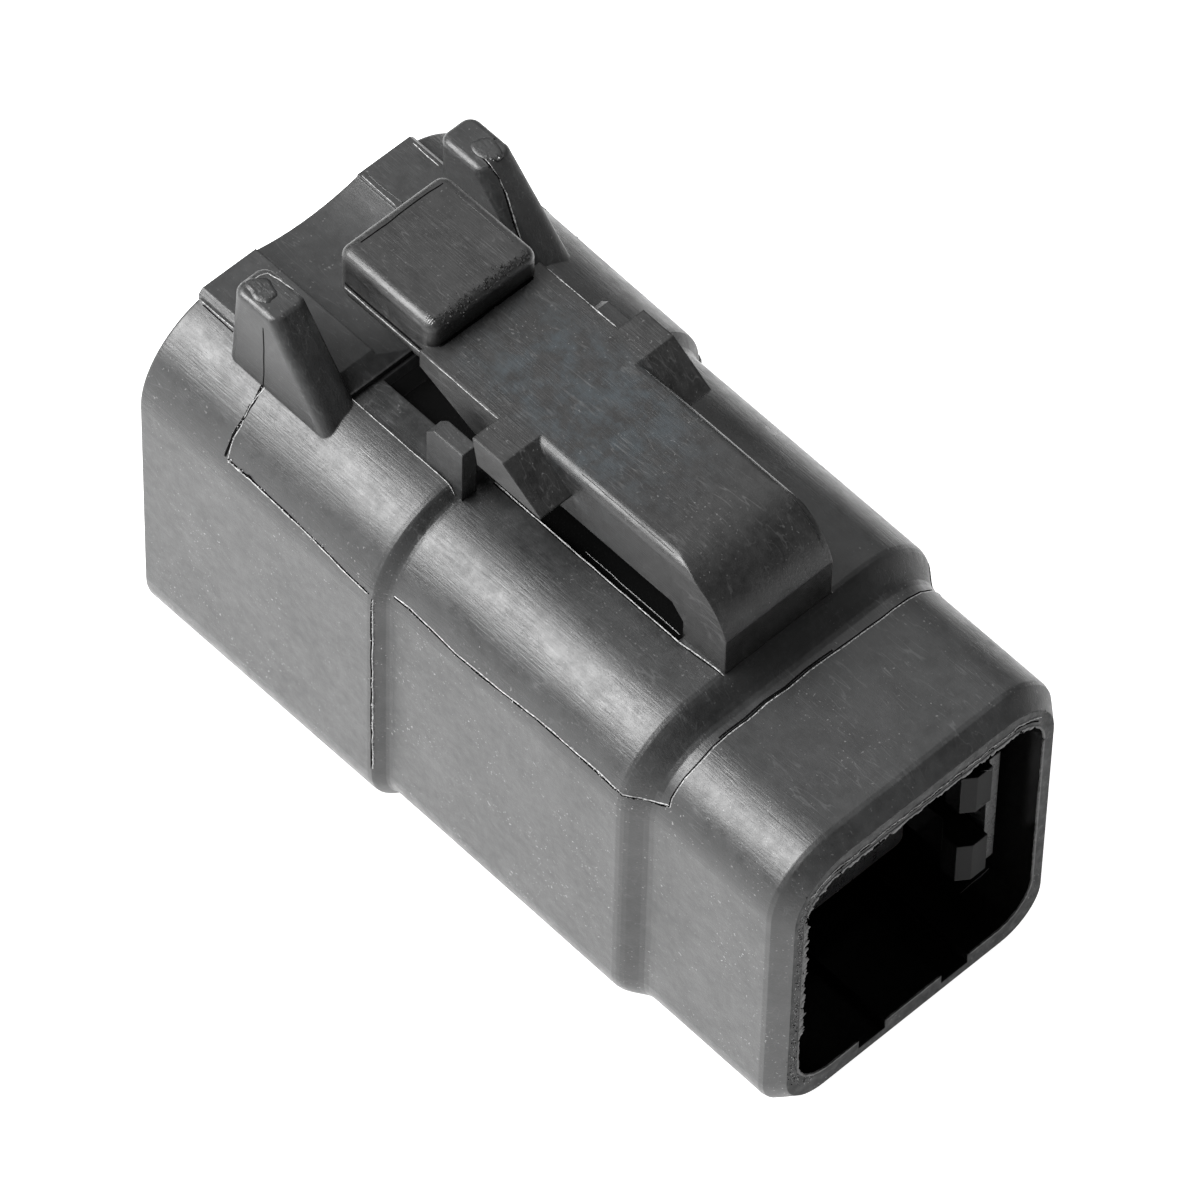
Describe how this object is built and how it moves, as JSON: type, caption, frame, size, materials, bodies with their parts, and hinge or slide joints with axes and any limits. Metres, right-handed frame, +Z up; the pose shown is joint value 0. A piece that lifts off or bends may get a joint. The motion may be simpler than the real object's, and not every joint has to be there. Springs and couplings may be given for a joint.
{
  "type": "sealed automotive wire connector plug",
  "caption": "Black rectangular sealed wire plug: stepped housing with an open mouth, seals, socket contacts and a sprung overhead latch arm between two guards.",
  "frame": {"origin": "middle of the underside: half way along the length, on the middle plane, at the lowest surface", "axes": "+X along the mating direction, from the wire end to the open mouth; +Z up, towards the latch arm"},
  "size_m": [0.048, 0.0244, 0.033],
  "materials": {
    "housing": "black moulded thermoplastic, satin, with fine scuffs",
    "latch": "black moulded thermoplastic, satin, scratched on top",
    "seal": "dark silicone rubber",
    "lock": "black moulded thermoplastic",
    "contact": "turned and plated copper alloy",
    "sleeve": "drawn stainless steel"
  },
  "bodies": {
    "shell": {"housing": "housing", "interface_seal": "seal", "wire_seal": "seal", "front_lock": "lock", "contact_1_body": "contact", "contact_1_sleeve": "sleeve", "contact_2_body": "contact", "contact_2_sleeve": "sleeve", "contact_3_body": "contact", "contact_3_sleeve": "sleeve", "contact_4_body": "contact", "contact_4_sleeve": "sleeve"},
    "latch": {"latch_arm": "latch"}
  },
  "joints": [
    {"name": "latch_press", "type": "hinge", "parent": "shell", "child": "latch", "pos_m": [0.0094, 0, 0.02508], "axis": [0, -1, 0], "range_deg": [0, 5], "stiffness_Nm_per_rad": 2}
  ]
}
